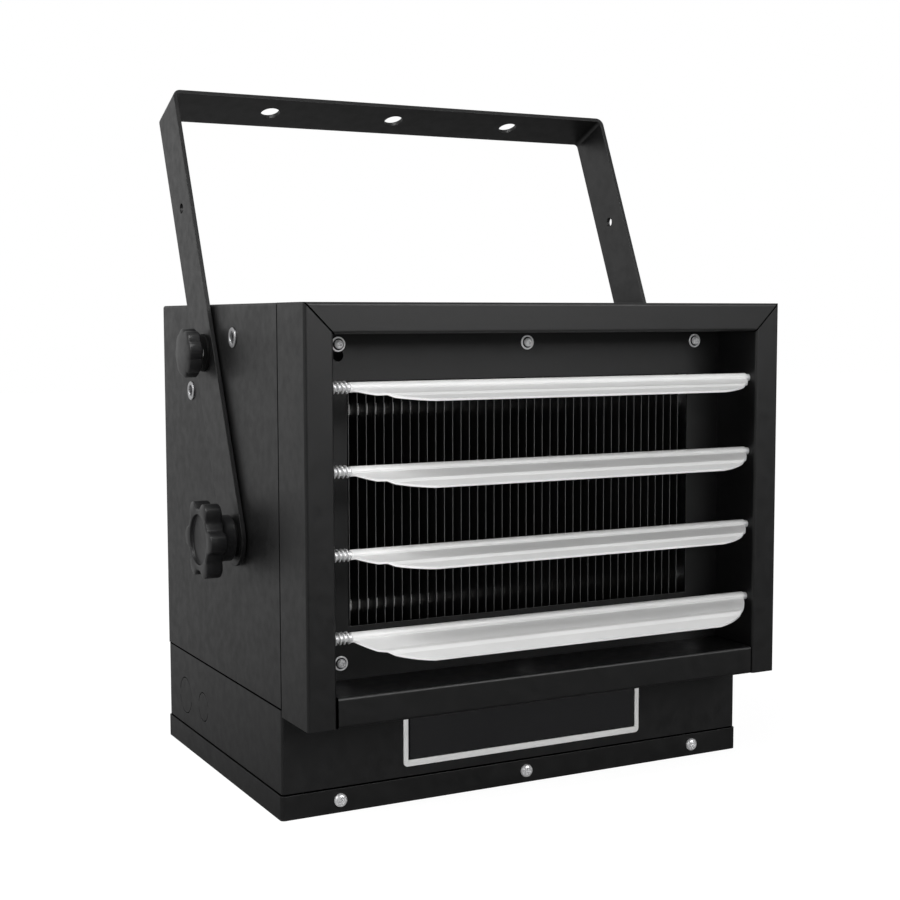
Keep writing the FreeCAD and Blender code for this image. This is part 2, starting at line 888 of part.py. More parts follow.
def louvre_plan(left, right):
    """The blade's outline seen from above: straight lip, ends swept back to the bead."""
    lip = louvre_chord + louvre_wall
    rise = lip - louvre_end_square
    sweep = (louvre_end_run ** 2 + rise ** 2) / (2 * rise)
    half_turn = math.asin(louvre_end_run / sweep) / 2
    bow_x = louvre_end_run - sweep * math.sin(half_turn)
    bow_s = lip - sweep + sweep * math.cos(half_turn)
    low = -bead_radius - overrun
    flat = lambda x, s: Vector(x, -s, low - louvre_chord)
    square = louvre_end_square
    run = louvre_end_run
    edges = [
        Part.LineSegment(flat(left, low), flat(left, square)).toShape(),
        Part.Arc(flat(left, square), flat(left + bow_x, bow_s), flat(left + run, lip)).toShape(),
        Part.LineSegment(flat(left + run, lip), flat(right - run, lip)).toShape(),
        Part.Arc(flat(right - run, lip), flat(right - bow_x, bow_s), flat(right, square)).toShape(),
        Part.LineSegment(flat(right, square), flat(right, low)).toShape(),
        Part.LineSegment(flat(right, low), flat(left, low)).toShape(),
    ]
    return Part.Face(Part.Wire(edges)).extrude(up * (2 * louvre_chord - 2 * low))


def louvres():
    blade = louvre_blade()
    placed = []
    for z, tilt in zip(louvre_heights(), louvre_tilts_deg):
        copy = blade.copy()
        copy.rotate(Vector(0, 0, 0), across, tilt)
        placed.append(copy.translated(Vector(0, louvre_y, z)))
    return placed


def louvre_rods():
    half = opening_half + sheet + rod_tail
    return [
        Part.makeCylinder(rod_radius, 2 * half, Vector(-half, louvre_y, z), across)
        for z in louvre_heights()
    ]


def biarc(start, start_way, end, end_way):
    """Two arcs that leave start and reach end along the given unit tangents."""
    chord = end - start
    lean = chord.dot(start_way + end_way)
    spread = 2 * (1 - start_way.dot(end_way))
    arm = (math.sqrt(lean ** 2 + spread * chord.dot(chord)) - lean) / spread
    first_knee = start + start_way * arm
    second_knee = end - end_way * arm
    joint = (first_knee + second_knee) / 2
    arcs = []
    for begin, knee, finish in ((start, first_knee, joint), (joint, second_knee, end)):
        centre = (begin + finish) / 2
        half_chord = (finish - begin).Length / 2
        height = (knee - centre).Length
        bow = half_chord * math.tan(math.atan2(height, half_chord) / 2)
        arcs.append(Part.Arc(begin, centre + (knee - centre) * (bow / height), finish).toShape())
    return arcs


def spring_line(z):
    """Places and unit tangents of the spring's centre line, four to each turn."""
    low = -opening_half + body_gap + spring_wire_radius
    high = -opening_half + louvre_left_gap - body_gap - spring_wire_radius
    quarters = 4 * spring_turns
    lead = (high - low) / spring_turns / (2 * math.pi)
    line = []
    for quarter in range(quarters + 1):
        turn = quarter * math.pi / 2
        y = louvre_y + spring_coil_radius * math.cos(turn)
        height = z + spring_coil_radius * math.sin(turn)
        way = Vector(lead, -spring_coil_radius * math.sin(turn), spring_coil_radius * math.cos(turn))
        line.append((Vector(low + lead * turn, y, height), way.normalize()))
    return line


def spring(z):
    """One unbroken wire: a straight tail, the coils and a second straight tail."""
    line = spring_line(z)
    tail = 2 * spring_wire_radius
    begin, begin_way = line[0]
    end, end_way = line[-1]
    edges = [Part.LineSegment(begin - begin_way * tail, begin).toShape()]
    for (place, way), (following, following_way) in zip(line, line[1:]):
        edges += biarc(place, way, following, following_way)
    edges.append(Part.LineSegment(end, end + end_way * tail).toShape())
    centre = begin - begin_way * tail
    sideways = begin_way.cross(back)
    turns = [2 * math.pi * i / spring_wire_sides for i in range(spring_wire_sides)]
    section = [centre + (back * math.cos(t) + sideways * math.sin(t)) * spring_wire_radius for t in turns]
    pipe = Part.BRepOffsetAPI.MakePipeShell(Part.Wire(edges))
    pipe.add(closed(section))
    pipe.build()
    pipe.makeSolid()
    return pipe.shape()


def spring_self_gap():
    """Least free space between one coil and the next, measured on points of the line."""
    line = [place for place, way in spring_line(0)]
    pairs = [(a, b) for i, a in enumerate(line) for b in line[i + 4:]]
    return min((a - b).Length for a, b in pairs) - 2 * spring_wire_radius


def louvre_springs():
    return [spring(z) for z in louvre_heights()]


# Hanging bracket with its washers, studs, knobs and inserts

def at_pivot(shape):
    return shape.translated(Vector(0, pivot_y, pivot_height))


def lean(shape):
    """Moves a piece drawn upright about the pivot to its leaning place."""
    shape.rotate(Vector(0, 0, 0), across, -bracket_lean_deg)
    return at_pivot(shape)


def bracket():
    half_strap = strap_width / 2
    path = [
        (leg_outer, -half_strap),
        (leg_outer, bracket_reach),
        (-leg_outer, bracket_reach),
        (-leg_outer, -half_strap),
    ]
    place = lambda a, b: Vector(a, -half_strap, b)
    strap = folded(path, strap_thickness, strap_bend_radius, place, back * strap_width)
    wide = leg_outer + overrun
    toe = block((-wide, -half_strap, -half_strap), (wide, half_strap, 0))
    strap = strap.cut(toe.cut(drill(half_strap, Vector(0, 0, 0), across, 2 * wide)))
    cuts = []
    for x in (-hanger_hole_spacing, 0, hanger_hole_spacing):
        cuts.append(drill(hanger_hole_radius, Vector(x, 0, bracket_reach), up, 2 * overrun))
    cuts.append(drill(leg_hole_radius, Vector(0, 0, leg_hole_reach), across, 2 * wide))
    for height in (0, index_reach):
        cuts.append(socket(stud_radius + running_fit, Vector(0, 0, height), across, 2 * wide))
    return lean(strap.cut(cuts))


def washers(reach):
    seat = Vector(leg_outer, 0, reach)
    washer = lean(ring(seat, across, stud_radius + running_fit, washer_radius, washer_thickness))
    return [washer, mirrored(washer)]


def lobed_points(count, steps, radius, depth, flute_share, start):
    """A lobed outline by a formula: broad crests with a steep-sided flute between each two."""
    points = []
    for i in range(count * steps):
        turn = 2 * math.pi * i / (count * steps)
        from_flute = 1 / 2 - min(i % steps, steps - i % steps) / steps
        reach = radius - depth / (1 + (from_flute / flute_share) ** flute_steepness)
        points.append(start + (back * math.cos(turn) + up * math.sin(turn)) * reach)
    return points


def lobed_head(outline, radius, start, length, edge):
    """A knob's head: the lobed outline, drawn in along its outer edge."""
    body = Part.Face(closed(outline)).extrude(across * (length - edge))
    rim = start + across * (length - edge)
    inner_share = 1 - edge / radius
    shoulder = [point + across * (length - edge) for point in outline]
    crown = [rim + across * edge + (point - rim) * inner_share for point in shoulder]
    return joined([body, frustum(shoulder, crown)])


def upper_knob():
    """Round fluted knob, backed off its washer, with a drawn-in face."""
    seat = leg_outer + washer_thickness + body_gap
    start = Vector(seat + upper_knob_standoff, 0, index_reach)
    outline = lobed_points(
        upper_knob_flutes,
        upper_flute_steps,
        upper_knob_radius,
        upper_flute_depth,
        upper_flute_share,
        start,
    )
    head = lobed_head(outline, upper_knob_radius, start, upper_knob_length, upper_knob_dome)
    return head.cut(socket(stud_radius + running_fit, start, across, upper_knob_length))


def upper_stud():
    seat = leg_outer + washer_thickness + body_gap + upper_knob_standoff
    length = seat + upper_knob_length / 2 - body_gap - leg_inner
    return Part.makeCylinder(stud_radius, length, Vector(leg_inner, 0, index_reach), across)


def lower_knob():
    """Lobed clamp knob: a flared hub, a lobed head and a round recess in its face."""
    seat = Vector(leg_outer + washer_thickness + body_gap, 0, 0)
    straight = lower_hub_length - lower_hub_flare
    head_at = seat + across * lower_hub_length
    outline = lobed_points(
        lower_knob_lobes,
        lower_flute_steps,
        lower_knob_radius,
        lower_flute_depth,
        lower_flute_share,
        head_at,
    )
    head = lobed_head(outline, lower_knob_radius, head_at, lower_knob_length, lower_knob_edge)
    hub = prism(hub_sides, lower_hub_radius, seat, across, straight)
    waist = rim_points(hub_sides, lower_hub_radius, seat + across * straight, across)
    flare = rim_points(hub_sides, lower_hub_radius + lower_hub_flare, head_at, across)
    knob = joined([head, hub, frustum(waist, flare)])
    recess_at = head_at + across * (lower_knob_length - lower_recess_depth)
    knob = knob.cut(prism(hub_sides, lower_recess_radius, recess_at, across, overrun))
    return knob.cut(socket(stud_radius + running_fit, seat, across, 2 * lower_stud_depth))


def lower_stud():
    inner = half_width - insert_length / 2
    outer = leg_outer + washer_thickness + lower_stud_depth
    return Part.makeCylinder(stud_radius, outer - inner, Vector(inner, 0, 0), across)


def rivet_nuts():
    """Flanged threaded inserts in both sides: tilt stops and pivots."""
    flange = leg_gap - body_gap
    right = []
    for y, z in insert_places():
        seat = Vector(half_width, y, z)
        inner_end = seat - across * insert_length
        body = prism(fastener_sides, insert_body_radius, inner_end, across, insert_length)
        nut = joined([body, prism(fastener_sides, insert_flange_radius, seat, across, flange)])
        right.append(nut.cut(socket(stud_radius + running_fit, seat, across, 4 * insert_length)))
    return right + [mirrored(nut) for nut in right]


def write(name, shape):
    if isinstance(shape, list):
        shape = Part.makeCompound(shape)
    shape.exportStep("parts/" + name + ".step")


os.makedirs("parts", exist_ok=True)
frame_side = frame_left()
pieces = {
    "bottom_cover": bottom_cover(),
    "base_box": base_box(),
    "shelf": shelf(),
    "cabinet_wrap": cabinet_wrap(),
    "rear_panel": rear_panel(),
    "outlet_plate": outlet_plate(),
    "frame_top": frame_top(),
    "frame_left": frame_side,
    "frame_right": mirrored(frame_side),
    "lower_rail": lower_rail(),
    "plate_screws": plate_screws(),
    "plate_washers": plate_washers(),
    "base_screws": base_screws(),
    "panel_border": panel_border(),
    "control_window": control_window(),
    "display_board": display_board(),
    "control_board": control_board(),
    "board_standoffs": board_standoffs(),
    "relays": relays(),
    "terminal_block": terminal_block(),
    "ground_tab": ground_tab(),
    "fin_pack": fin_pack(),
    "heater_rods": heater_rods(),
    "element_end_plates": element_end_plates(),
    "thermal_cutout": thermal_cutout(),
    "fan_baffle": fan_baffle(),
    "motor_strap": motor_strap(),
    "fan_motor": fan_motor(),
    "motor_shaft": motor_shaft(),
    "fan": fan(),
    "fan_nut": fan_nut(),
    "louvre_springs": louvre_springs(),
    "rivet_nuts": rivet_nuts(),
    "bracket": bracket(),
    "upper_washers": washers(index_reach),
    "lower_washers": washers(0),
}
for number, (blade, rod) in enumerate(zip(louvres(), louvre_rods()), 1):
    pieces["louvre_" + str(number)] = blade
    pieces["louvre_rod_" + str(number)] = rod
clamp_pieces = {
    "upper_knob": lean(upper_knob()),
    "upper_stud": lean(upper_stud()),
    "lower_knob": at_pivot(lower_knob()),
    "lower_stud": at_pivot(lower_stud()),
}
for name, right in clamp_pieces.items():
    pieces[name + "_right"] = right
    pieces[name + "_left"] = mirrored(right)
for name, shape in pieces.items():
    write(name, shape)
print("least gap between spring coils: %.2f mm" % spring_self_gap())
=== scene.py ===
import math

import bpy
from mathutils import Matrix, Vector


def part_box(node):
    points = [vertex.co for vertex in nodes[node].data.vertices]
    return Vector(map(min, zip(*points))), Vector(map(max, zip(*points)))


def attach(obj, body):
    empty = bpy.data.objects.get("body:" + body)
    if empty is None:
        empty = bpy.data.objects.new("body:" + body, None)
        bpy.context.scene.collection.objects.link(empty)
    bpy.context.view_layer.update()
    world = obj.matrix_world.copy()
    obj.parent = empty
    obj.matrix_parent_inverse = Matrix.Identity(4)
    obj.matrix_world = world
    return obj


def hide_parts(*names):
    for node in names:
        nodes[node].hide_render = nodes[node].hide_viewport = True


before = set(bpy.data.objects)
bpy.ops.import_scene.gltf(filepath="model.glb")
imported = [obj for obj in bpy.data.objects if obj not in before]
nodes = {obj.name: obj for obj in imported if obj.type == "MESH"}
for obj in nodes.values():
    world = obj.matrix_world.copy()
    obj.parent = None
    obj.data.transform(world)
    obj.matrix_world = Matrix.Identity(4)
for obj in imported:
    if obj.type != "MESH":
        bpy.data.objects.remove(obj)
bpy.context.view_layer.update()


# Case: wrap, base box, bottom cover, rear panel, mitred front frame, lower rail and inner shelf.
# Folded sheet steel in a satin black powder coat with a fine orange-peel grain; the shelf is bare zinc.
# The coat is a touch paler on folds and cut edges, partly wear and partly painted highlight, and a dark,
# dull line of painted shade marks where two sheets meet.

def ramp(tree, value, source, target=(0.0, 1.0)):
    """A value carried from one range to another and held at both ends."""
    node = tree.nodes.new("ShaderNodeMapRange")
    for label, number in zip(("From Min", "From Max", "To Min", "To Max"), source + target):
        node.inputs[label].default_value = number
    tree.links.new(value, node.inputs["Value"])
    return node.outputs[0]


def mixed(tree, share, first, second):
    """Two colours, each a plain one or another node's, mixed by a share."""
    node = tree.nodes.new("ShaderNodeMix")
    node.data_type = "RGBA"
    for socket, colour in ((node.inputs[6], first), (node.inputs[7], second)):
        if isinstance(colour, tuple):
            socket.default_value = (*colour, 1.0)
        else:
            tree.links.new(colour, socket)
    tree.links.new(share, node.inputs[0])
    return node.outputs[2]


def along(tree, vector, way):
    """How far a vector reaches along a direction."""
    node = tree.nodes.new("ShaderNodeVectorMath")
    node.operation = "DOT_PRODUCT"
    tree.links.new(vector, node.inputs[0])
    if isinstance(way, tuple):
        node.inputs[1].default_value = way
    else:
        tree.links.new(way, node.inputs[1])
    return node.outputs["Value"]


def worked(tree, operation, value, number=0.0):
    """A value taken through one step of arithmetic."""
    node = tree.nodes.new("ShaderNodeMath")
    node.operation = operation
    node.inputs[1].default_value = number
    tree.links.new(value, node.inputs[0])
    return node.outputs[0]


def coat(
    name, colour, rough, metal=0.0,
    grain=(1400.0, 0.1, 0.0002), cloud=(14.0, 0.05), edge=(0.0006, 0.35),
):
    """A finish with a fine grain, slow clouds of tone and softened edges painted paler, partly as wear and
    partly as a painted highlight.

    The grain is a fineness, a strength and a depth. The cloud is a fineness and a share of the
    tone. The edge is a radius and a share of the paler colour. Lengths are in metres.
    """
    grain_fineness, grain_strength, grain_depth = grain
    cloud_fineness, cloud_share = cloud
    edge_radius, pale_share = edge
    noise_middle = (0.3, 0.7)
    edge_turn = (0.995, 0.8)
    pale_gain = 1.3
    pale_lift = 0.05
    rough_swing = 0.05
    patch_fineness = cloud_fineness * 9.0

    material = bpy.data.materials.new(name)
    material.use_nodes = True
    tree = material.node_tree
    shader = tree.nodes["Principled BSDF"]
    place = tree.nodes.new("ShaderNodeTexCoord")

    def noise(fineness, detail):
        node = tree.nodes.new("ShaderNodeTexNoise")
        node.inputs["Scale"].default_value = fineness
        node.inputs["Detail"].default_value = detail
        tree.links.new(place.outputs["Object"], node.inputs["Vector"])
        return node.outputs[0]

    dark = tuple(c * (1.0 - cloud_share) for c in colour)
    light = tuple(min(1.0, c * (1.0 + cloud_share)) for c in colour)
    clouds = ramp(tree, noise(cloud_fineness, detail=4.0), noise_middle)
    tone = mixed(tree, clouds, dark, light)

    soft = tree.nodes.new("ShaderNodeBevel")
    soft.samples = 4
    soft.inputs["Radius"].default_value = edge_radius
    flat = tree.nodes.new("ShaderNodeNewGeometry")
    turn = along(tree, soft.outputs[0], flat.outputs["Normal"])
    # Paler edges: partly wear, partly a painted highlight along folds and rounded edges.
    wear_and_highlight = ramp(tree, turn, edge_turn, (0.0, pale_share))
    pale = tuple(min(1.0, c * pale_gain + pale_lift) for c in colour)
    tree.links.new(mixed(tree, wear_and_highlight, tone, pale), shader.inputs["Base Color"])

    bump = tree.nodes.new("ShaderNodeBump")
    bump.inputs["Strength"].default_value = grain_strength
    bump.inputs["Distance"].default_value = grain_depth
    tree.links.new(noise(grain_fineness, detail=2.0), bump.inputs["Height"])
    tree.links.new(soft.outputs[0], bump.inputs["Normal"])
    tree.links.new(bump.outputs[0], shader.inputs["Normal"])
    patches = noise(patch_fineness, detail=3.0)
    uneven = ramp(tree, patches, noise_middle, (rough - rough_swing, rough + rough_swing))
    tree.links.new(uneven, shader.inputs["Roughness"])
    shader.inputs["Metallic"].default_value = metal
    return material


def seam_shade_line(material, way, reach, half):
    """A dark, dull line of painted shade in the coat where two sheets meet, at a reach along a direction.
    """
    core_share = 0.7
    plain_sheen = (0.5, 0.5, 0.5)
    tree = material.node_tree
    shader = tree.nodes["Principled BSDF"]
    place = tree.nodes.new("ShaderNodeTexCoord")
    offset = worked(tree, "SUBTRACT", along(tree, place.outputs["Object"], way), reach)
    clear = ramp(tree, worked(tree, "ABSOLUTE", offset), (half * core_share, half))
    for label in ("Base Color", "Specular IOR Level"):
        socket = shader.inputs[label]
        usual = socket.links[0].from_socket if socket.links else plain_sheen
        tree.links.new(mixed(tree, clear, (0.0, 0.0, 0.0), usual), socket)


def paint(names, material):
    """Gives modelled pieces their finish."""
    for name in names:
        nodes[name].data.materials.clear()
        nodes[name].data.materials.append(material)


satin = {"rough": 0.42, "grain": (1500.0, 0.14, 0.0003), "edge": (0.0006, 0.1)}
# The one coat is laid in three tones: a little paler on the base box, darkest on the bottom cover and lower
# rail.
upper_black = (0.0062, 0.0062, 0.0064)
middle_black = (0.0075, 0.0075, 0.0078)
lower_black = (0.005, 0.005, 0.0052)

wrap_low, wrap_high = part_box("cabinet_wrap")
frame_joint = (wrap_low.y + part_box("frame_left")[1].y) / 2
base_joint = (wrap_low.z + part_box("base_box")[1].z) / 2
# The line just above the bottom cover is a painted contact shadow on the base box.
cover_shadow = 0.0004
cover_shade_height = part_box("bottom_cover")[1].z + cover_shadow
mitre = wrap_high.z - (wrap_high.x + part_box("frame_top")[1].x) / 2
rail_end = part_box("lower_rail")[1].x

frame_half = 0.0009
base_half = 0.0008
cover_half = 0.0007
# Each line is painted shade in a seam: a darker colour with the sheen taken out.
frame_seam_shade = ((0.0, 1.0, 0.0), frame_joint, frame_half)
base_seam_shade = ((0.0, 0.0, 1.0), base_joint, base_half)
cover_contact_shade = ((0.0, 0.0, 1.0), cover_shade_height, cover_half)
mitre_seam_shades = [((side, 0.0, 1.0), mitre, frame_half) for side in (1.0, -1.0)]
rail_seam_shades = [((side, 0.0, 0.0), rail_end, frame_half) for side in (1.0, -1.0)]
for name, colour, pieces, lines in (
    ("wrap_black", upper_black, ["cabinet_wrap", "rear_panel"], [frame_seam_shade, base_seam_shade]),
    ("frame_black", upper_black, ["frame_top", "frame_left", "frame_right"], [frame_seam_shade] + mitre_seam_shades),
    ("base_black", middle_black, ["base_box"], [base_seam_shade, cover_contact_shade]),
    ("cover_black", lower_black, ["bottom_cover"], []),
    ("rail_black", lower_black, ["lower_rail"], rail_seam_shades),
):
    finish = coat(name, colour, **satin)
    for line in lines:
        seam_shade_line(finish, *line)
    paint(pieces, finish)

spangle = {"grain": (300.0, 0.06, 0.0002), "cloud": (60.0, 0.2)}
zinc_sheet = coat("zinc_sheet", (0.42, 0.43, 0.44), rough=0.38, metal=1.0, **spangle)
paint(["shelf"], zinc_sheet)


# Outlet plate: one flat sheet behind the louvres with a wide window for the fins.
# The same black coat as the case, laid on a little finer.
# It is clamped to the flanges of the wrap and the shelf by the six plate screws.

plate_black = coat("plate_black", (0.006, 0.006, 0.0062), rough=0.42, grain=(1700.0, 0.12, 0.0003))
paint(["outlet_plate"], plate_black)


# Heating element: pressed fins on sheathed rods between two angle plates.
# The fin faces are painted near-black as painted shade for the deep gaps between fins, while their sheared
# front edges stay bright metal.
# Rods are drawn steel tube; the plates are galvanised and carry the thermal cut-out.

front_way = (0.0, -1.0, 0.0)
nearly_forward = 0.9
sheared_edge = (0.13, 0.13, 0.13)
# Near-black fin faces: painted shade for the gaps between the fins.
fin_shade_black = (0.006, 0.006, 0.006)
fin_strip = coat("fin_strip", fin_shade_black, rough=0.5, grain=(900.0, 0.1, 0.0002), edge=(0.0001, 0.0))
fin_tree = fin_strip.node_tree
fin_faces = fin_tree.nodes.new("ShaderNodeNewGeometry")
forward = along(fin_tree, fin_faces.outputs["True Normal"], front_way)
sheared = worked(fin_tree, "GREATER_THAN", forward, nearly_forward)
fin_colour = fin_tree.nodes["Principled BSDF"].inputs["Base Color"]
fin_face_shade = fin_colour.links[0].from_socket
fin_tree.links.new(mixed(fin_tree, sheared, fin_face_shade, sheared_edge), fin_colour)
paint(["fin_pack"], fin_strip)

sheath = coat("sheath", (0.78, 0.77, 0.76), rough=0.3, metal=0.4, grain=(500.0, 0.05, 0.0001))
paint(["heater_rods"], sheath)
paint(["element_end_plates"], zinc_sheet)
phenolic = coat("phenolic", (0.03, 0.024, 0.02), rough=0.5)
paint(["thermal_cutout"], phenolic)


# Fan and motor: pressed aluminium blades on a hub, in a galvanised baffle, turned by a closed motor.
# The motor has a black baked paint and hangs from a galvanised strap behind the fan.
# The shaft is plain ground steel, and its nut is bright zinc plate.

blade_metal = coat("blade_metal", (0.5, 0.5, 0.51), rough=0.36, metal=1.0, grain=(220.0, 0.05, 0.0002))
paint(["fan"], blade_metal)
paint(["fan_baffle", "motor_strap"], zinc_sheet)
motor_black = coat("motor_black", (0.02, 0.02, 0.021), rough=0.4, grain=(700.0, 0.15, 0.0003))
paint(["fan_motor"], motor_black)
ground_steel = coat("ground_steel", (0.6, 0.6, 0.61), rough=0.2, metal=1.0, grain=(900.0, 0.05, 0.0001))
paint(["motor_shaft"], ground_steel)
plating = {"grain": (1200.0, 0.05, 0.0001), "cloud": (300.0, 0.06)}
zinc = coat("zinc", (0.93, 0.93, 0.94), rough=0.2, metal=0.4, **plating)
paint(["fan_nut"], zinc)


# Electronics in the base: two circuit boards, relays, terminal block and ground tab.
# Green laminate, black moulded cases, dark phenolic barriers and a plain copper strip.
# They hang from the base's roof on brass standoffs, hidden by the bottom cover.

laminate = coat("laminate", (0.012, 0.09, 0.035), rough=0.35, cloud=(120.0, 0.25))
paint(["display_board", "control_board"], laminate)
turned_brass = coat("turned_brass", (0.7, 0.52, 0.22), rough=0.25, metal=1.0)
paint(["board_standoffs"], turned_brass)
relay_black = coat("relay_black", (0.018, 0.018, 0.02), rough=0.4)
paint(["relays"], relay_black)
barrier_phenolic = coat("barrier_phenolic", (0.04, 0.034, 0.028), rough=0.5)
paint(["terminal_block"], barrier_phenolic)
copper_strip = coat("copper_strip", (0.72, 0.4, 0.25), rough=0.3, metal=1.0)
paint(["ground_tab"], copper_strip)


# Control panel: a thin white border line round a dark window in the base's front.
# The window is gloss acrylic, tinted nearly black, with the display board behind it.
# The border is a low moulded strip; it and the window are bonded to the base's front wall.

def solid(name, points, faces, material, body, slot, stands_for, smooth_deg=38.0):
    """A new piece that rides on a body and stands for modelled nodes."""
    mesh = bpy.data.meshes.new(name)
    mesh.from_pydata([tuple(p) for p in points], [], faces)
    mesh.update()
    mesh.shade_smooth()
    mesh.set_sharp_from_angle(angle=math.radians(smooth_deg))
    mesh.materials.append(material)
    piece = bpy.data.objects.new(name, mesh)
    bpy.context.scene.collection.objects.link(piece)
    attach(piece, body)
    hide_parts(*stands_for)
    return piece


def looking(point, way, spin=0.0):
    """A place at a point whose own Z runs along a direction, turned about it by spin."""
    turn = Vector(way).to_track_quat("Z", "Y").to_matrix().to_4x4()
    return Matrix.Translation(Vector(point)) @ turn @ Matrix.Rotation(spin, 4, "Z")


def rings(outlines, place, closed=False):
    """Skins a stack of equal rings; open stacks get end caps, closed ones join end to start."""
    points = [place @ Vector(p) for ring in outlines for p in ring]
    count = len(outlines[0])
    last = len(outlines) - 1
    pairs = [(low, low + 1) for low in range(last)]
    if closed:
        pairs.append((last, 0))
    faces = []
    for low, high in pairs:
        for i in range(count):
            j = (i + 1) % count
            faces.append((low * count + i, low * count + j, high * count + j, high * count + i))
    if not closed:
        faces.append(tuple(range(count))[::-1])
        faces.append(tuple(range(last * count, (last + 1) * count)))
    return points, faces


def rounded(half_width, low, high, radius, reach):
    """A round-cornered rectangle in the panel's plane, at a reach from the base's front."""
    corner_steps = 6
    left, right = radius - half_width, half_width - radius
    below, above = low + radius, high - radius
    points = []
    for corner, (x, z) in enumerate(((right, above), (left, above), (left, below), (right, below))):
        for step in range(corner_steps + 1):
            turn = (corner + step / corner_steps) * math.pi / 2
            points.append((x + radius * math.cos(turn), z + radius * math.sin(turn), reach))
    return points


border_low, border_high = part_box("panel_border")
border_inset = 0.0005
border_side = 0.0035
border_line = 0.0044
border_rise = 0.0009
border_corner = 0.003
least_corner = 0.0005
border_section_shares = ((0.0, 0.0), (0.0, 0.8), (0.05, 1.0), (0.95, 1.0), (1.0, 0.8), (1.0, 0.0))
border_outlines = []
for inward, rise in border_section_shares:
    half_width = border_high.x - border_inset - inward * border_side
    low = border_low.z + inward * border_line
    high = border_high.z - inward * border_line
    radius = max(border_corner - inward * border_side, least_corner)
    border_outlines.append(rounded(half_width, low, high, radius, rise * border_rise))
border_white = coat("border_white", (0.86, 0.86, 0.85), rough=0.4, cloud=(20.0, 0.03), edge=(0.0004, 0.2))
border_strip = rings(border_outlines, looking((0.0, border_high.y, 0.0), front_way), closed=True)
solid("panel_border_line", *border_strip, border_white, "case", "border_white", ["panel_border"])

polish = {"grain": (60.0, 0.01, 0.0001), "edge": (0.0003, 0.1)}
window_gloss = coat("window_gloss", (0.019, 0.019, 0.02), rough=0.12, **polish)
paint(["control_window"], window_gloss)


# Screws: six pan heads in ring washers hold the outlet plate, three larger ones the bottom cover.
# Bright zinc plate over steel, with a crosshead recess struck into each domed head.
# Every head sits at its modelled place, drawn round here and turned to its own stop.

def circle(radius, height, count):
    """A ring of points about Z."""
    turns = [2 * math.pi * i / count for i in range(count)]
    return [(radius * math.cos(t), radius * math.sin(t), height) for t in turns]


def cross(reach, half, height, count):
    """A ring of points round a four-armed cross."""
    ring = []
    for x, y, z in circle(1.0, height, count):
        longer, shorter = max(abs(x), abs(y)), min(abs(x), abs(y))
        edge = reach / longer if shorter * reach <= half * longer else half / shorter
        ring.append((edge * x, edge * y, z))
    return ring


def crosshead(radius, height, place):
    """A domed head with a crosshead recess, a four-armed well in its crown."""
    count = 48
    arm = radius * 0.56
    well = radius * 0.19
    rim_shares = ((0.96, 0.0), (1.0, 0.12), (1.0, 0.4))
    dome_shares = ((0.95, 0.6), (0.84, 0.8), (0.68, 0.94), (0.58, 0.985))
    recess_shares = ((1.0, 1.0, 1.0), (0.9, 0.85, 0.75), (0.35, 0.8, 0.3))
    outlines = [circle(radius * r, height * h, count) for r, h in rim_shares + dome_shares]
    outlines += [cross(arm * a, well * w, height * h, count) for a, w, h in recess_shares]
    return rings(outlines, place)


def gathered(parts):
    """Several point and face lists as one."""
    points, faces = [], []
    for more_points, more_faces in parts:
        base = len(points)
        points += more_points
        faces += [tuple(base + i for i in face) for face in more_faces]
    return points, faces


def washer(bore, radius, thick, soft):
    """A flat washer's section, with its outer edges taken off."""
    foot = ((bore, 0.0), (radius - soft, 0.0), (radius, soft))
    crown = ((radius, thick - soft), (radius - soft, thick), (bore, thick))
    return foot + crown


def turned(section, count, point, way):
    """A ring turned from a closed section of radii and heights, set on a point."""
    return rings([circle(r, h, count) for r, h in section], looking(point, way), closed=True)


def middle(name):
    """The middle of a modelled piece."""
    low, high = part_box(name)
    return (low + high) / 2


head_height = 0.0028


def heads(places, spins, radius):
    """Screw heads facing forward, each turned by its own spin."""
    return gathered(crosshead(radius, head_height, looking(p, front_way, s)) for p, s in zip(places, spins))


solid_radius = 0.004
drawn_radius = 0.003
ten_sided_share = math.cos(math.radians(18.0))
screw_low, screw_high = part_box("plate_screws")
ring_low, ring_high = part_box("plate_washers")
screw_reach = screw_high.x - solid_radius * ten_sided_share
plate_columns = (-screw_reach, 0.0, screw_reach)
plate_rows = (screw_low.z + solid_radius, screw_high.z - solid_radius)
plate_places = [(x, ring_low.y, z) for z in plate_rows for x in plate_columns]
plate_spins = (0.3, 1.1, 0.75, 0.5, 1.4, 0.9)
plate_heads = heads(plate_places, plate_spins, drawn_radius)
solid("plate_screw_heads", *plate_heads, zinc, "case", "zinc", ["plate_screws"])

ring_section = washer(bore=0.0039, radius=0.005, thick=0.0009, soft=0.0002)
ring_steps = 32
ring_places = [(x, ring_high.y, z) for x, y, z in plate_places]
ring_discs = gathered(turned(ring_section, ring_steps, point, front_way) for point in ring_places)
solid("plate_washer_discs", *ring_discs, zinc, "case", "zinc", ["plate_washers"])

base_radius = 0.0046
base_low, base_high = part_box("base_screws")
base_reach = base_high.x - base_radius * ten_sided_share
base_seat = base_low.y + head_height
base_height = middle("base_screws").z
base_places = [(x, base_seat, base_height) for x in (-base_reach, 0.0, base_reach)]
base_spins = (0.6, 1.2, 0.2)
base_heads = heads(base_places, base_spins, base_radius)
solid("base_screw_heads", *base_heads, zinc, "case", "zinc", ["base_screws"])


# Louvres: four extruded blades, each on a steel rod, with a friction spring at the left end.
# White coat on the blades, bright drawn rod, and springs of round bright wire.
# Blades and rods turn together in the frame's side walls; the springs press on the left wall.

